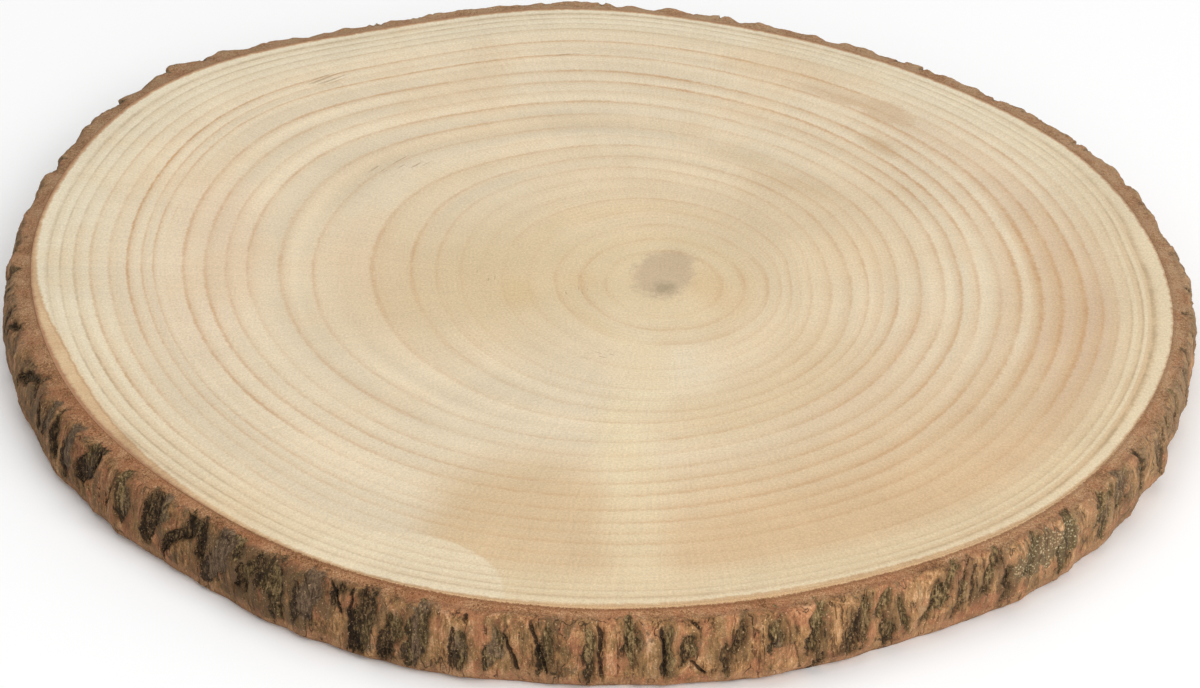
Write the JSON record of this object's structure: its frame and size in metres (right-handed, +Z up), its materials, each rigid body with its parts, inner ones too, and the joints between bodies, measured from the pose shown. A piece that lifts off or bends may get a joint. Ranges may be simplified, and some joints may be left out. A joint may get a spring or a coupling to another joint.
{
  "type": "wood slice",
  "caption": "Flat cross-cut slice of a tree trunk with its bark on, used as a rustic base, tray or centrepiece board.",
  "frame": {"origin": "middle of the underside's rectangle, on the surface the slice rests on", "axes": "+Z up along the tree's grain, square to both sawn faces; +X to the right and +Y to the back as seen from the front"},
  "size_m": [0.3508, 0.3544, 0.022],
  "materials": {
    "wood": "bare sanded pale end grain with rough reddish-brown bark round the edge"
  },
  "bodies": {
    "root": {"wood_slice": "wood"}
  },
  "joints": []
}
